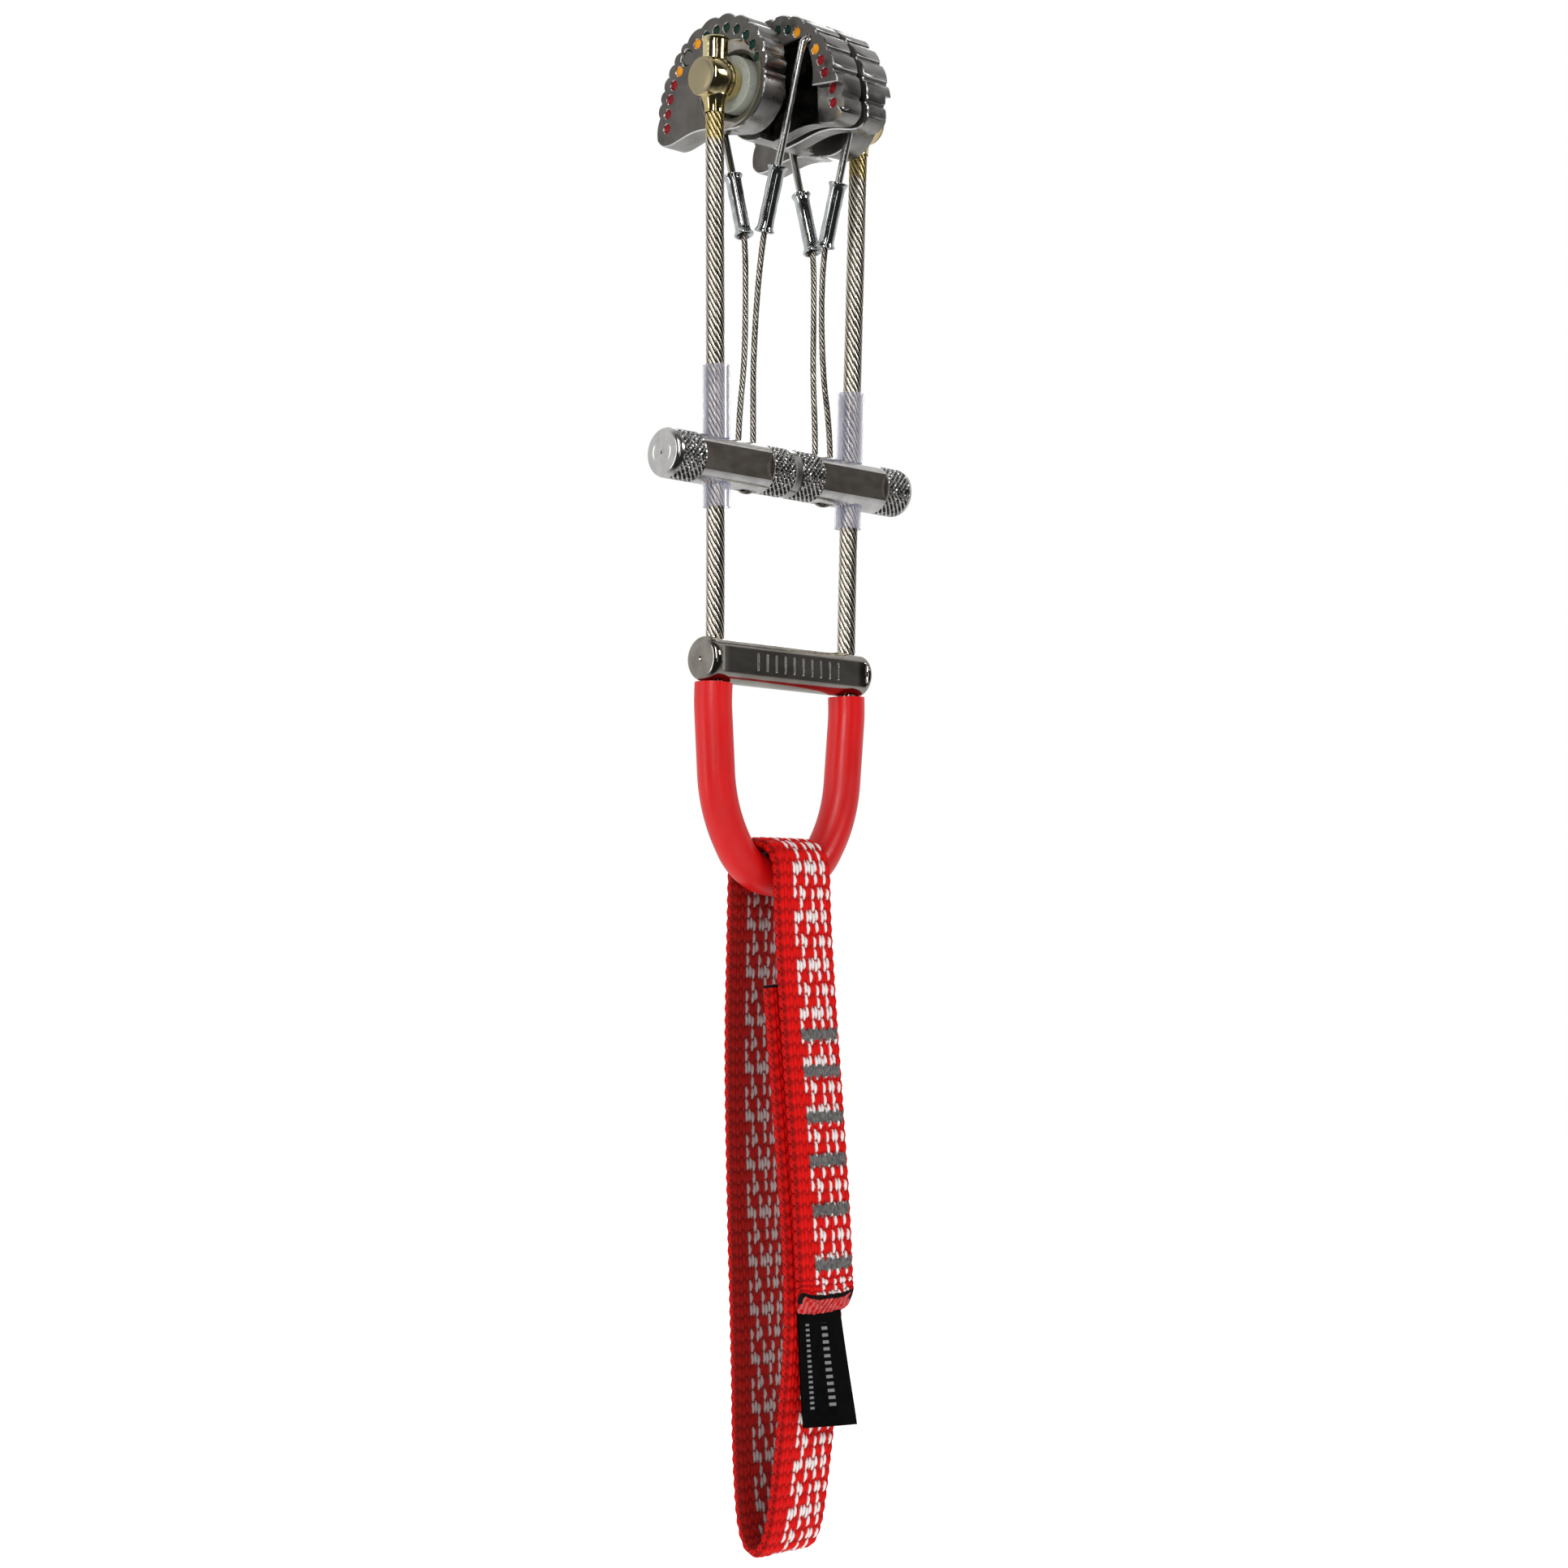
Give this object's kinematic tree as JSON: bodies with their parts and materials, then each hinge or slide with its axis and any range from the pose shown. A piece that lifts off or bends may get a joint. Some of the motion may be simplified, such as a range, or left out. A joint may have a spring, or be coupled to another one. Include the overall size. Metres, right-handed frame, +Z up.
{
  "type": "spring-loaded camming device",
  "caption": "Climbing camming device: sprung cam lobes on an axle, U-shaped cable stem, trigger and thumb bars, sheathed loop and sewn red sling.",
  "frame": {"origin": "centre of the axle, midway between the two terminals", "axes": "+X along the axle, +Z up from the stem to the head, -Y to the front of the sling"},
  "size_m": [0.0636, 0.0416, 0.2935],
  "materials": {
    "cam_alloy": "machined and polished, with a blasted outer face",
    "brazed_steel": "polished steel under a gold braze",
    "steel": "polished wire",
    "nylon": "translucent milky nylon",
    "spring_steel": "drawn spring wire",
    "plated_steel": "bright zinc plate",
    "thin_cable": "twisted strands",
    "stem_cable": "twisted strands",
    "thumb_bar": "polished nickel",
    "trigger_bar": "turned, with knurled bands",
    "clear_tube": "translucent",
    "red_tube": "satin red",
    "webbing": "woven, red with a white check",
    "thread": "grey bar tacks",
    "label": "black woven tape"
  },
  "bodies": {
    "stem": {"axle": "steel", "centre_washer": "nylon", "face_washer_left": "nylon", "face_washer_right": "nylon", "loop_sheath": "red_tube", "seat_washer_left": "nylon", "seat_washer_right": "nylon", "stem_cable": "stem_cable", "terminal_left": "brazed_steel", "terminal_right": "brazed_steel", "thumb_bar": "thumb_bar"},
    "trigger": {"bar_cable_left": "thin_cable", "bar_cable_right": "thin_cable", "sleeve_left": "clear_tube", "sleeve_right": "clear_tube", "trigger_bar": "trigger_bar", "cable_leg_1": "thin_cable", "cable_leg_2": "thin_cable", "cable_leg_3": "thin_cable", "cable_leg_4": "thin_cable"},
    "sling": {"sling_webbing": "webbing", "bar_tacks": "thread", "sling_label": "label"},
    "lobe_1": {"cam_lobe_1": "cam_alloy", "lobe_spring_left": "spring_steel"},
    "wire_1": {"trigger_wire_1": "steel", "ferrule_1": "plated_steel"},
    "lobe_2": {"cam_lobe_2": "cam_alloy"},
    "wire_2": {"trigger_wire_2": "steel", "ferrule_2": "plated_steel"},
    "lobe_3": {"cam_lobe_3": "cam_alloy"},
    "wire_3": {"trigger_wire_3": "steel", "ferrule_3": "plated_steel"},
    "lobe_4": {"cam_lobe_4": "cam_alloy", "lobe_spring_right": "spring_steel"},
    "wire_4": {"trigger_wire_4": "steel", "ferrule_4": "plated_steel"}
  },
  "joints": [
    {"name": "trigger_slide", "type": "slide", "parent": "stem", "child": "trigger", "axis": [0, 0, -1], "range_m": [0, 0.0212], "stiffness_N_per_m": 300, "springref_m": -0.02, "deforming": ["cable_leg_1", "cable_leg_2", "cable_leg_3", "cable_leg_4", "lobe_spring_left", "lobe_spring_right"]},
    {"name": "sling_swing", "type": "hinge", "parent": "stem", "child": "sling", "pos_m": [0, 0, -0.1515], "axis": [1, 0, 0], "range_deg": [-65, 65]},
    {"name": "lobe_1_turn", "type": "hinge", "parent": "stem", "child": "lobe_1", "pos_m": [0, 0, 0], "axis": [-1, 0, 0], "range_deg": [0, 90.5]},
    {"name": "wire_1_pivot", "type": "hinge", "parent": "lobe_1", "child": "wire_1", "pos_m": [-0.00935, 0.01246, 0.00784], "axis": [1, 0, 0], "range_deg": [0, 97.85]},
    {"name": "lobe_2_turn", "type": "hinge", "parent": "stem", "child": "lobe_2", "pos_m": [0, 0, 0], "axis": [1, 0, 0], "range_deg": [0, 90.5]},
    {"name": "wire_2_pivot", "type": "hinge", "parent": "lobe_2", "child": "wire_2", "pos_m": [-0.0083, -0.01246, 0.00784], "axis": [-1, 0, 0], "range_deg": [0, 97.85]},
    {"name": "lobe_3_turn", "type": "hinge", "parent": "stem", "child": "lobe_3", "pos_m": [0, 0, 0], "axis": [1, 0, 0], "range_deg": [0, 90.5]},
    {"name": "wire_3_pivot", "type": "hinge", "parent": "lobe_3", "child": "wire_3", "pos_m": [0.0083, -0.01246, 0.00784], "axis": [-1, 0, 0], "range_deg": [0, 97.85]},
    {"name": "lobe_4_turn", "type": "hinge", "parent": "stem", "child": "lobe_4", "pos_m": [0, 0, 0], "axis": [-1, 0, 0], "range_deg": [0, 90.5]},
    {"name": "wire_4_pivot", "type": "hinge", "parent": "lobe_4", "child": "wire_4", "pos_m": [0.00935, 0.01246, 0.00784], "axis": [1, 0, 0], "range_deg": [0, 97.85]}
  ],
  "couplings": [
    {"joint": "lobe_1_turn", "follows": "trigger_slide", "rad_per_m": 74.259},
    {"joint": "wire_1_pivot", "follows": "trigger_slide", "rad_per_m": 80.31},
    {"joint": "lobe_2_turn", "follows": "trigger_slide", "rad_per_m": 74.259},
    {"joint": "wire_2_pivot", "follows": "trigger_slide", "rad_per_m": 80.31},
    {"joint": "lobe_3_turn", "follows": "trigger_slide", "rad_per_m": 74.259},
    {"joint": "wire_3_pivot", "follows": "trigger_slide", "rad_per_m": 80.31},
    {"joint": "lobe_4_turn", "follows": "trigger_slide", "rad_per_m": 74.259},
    {"joint": "wire_4_pivot", "follows": "trigger_slide", "rad_per_m": 80.31}
  ]
}
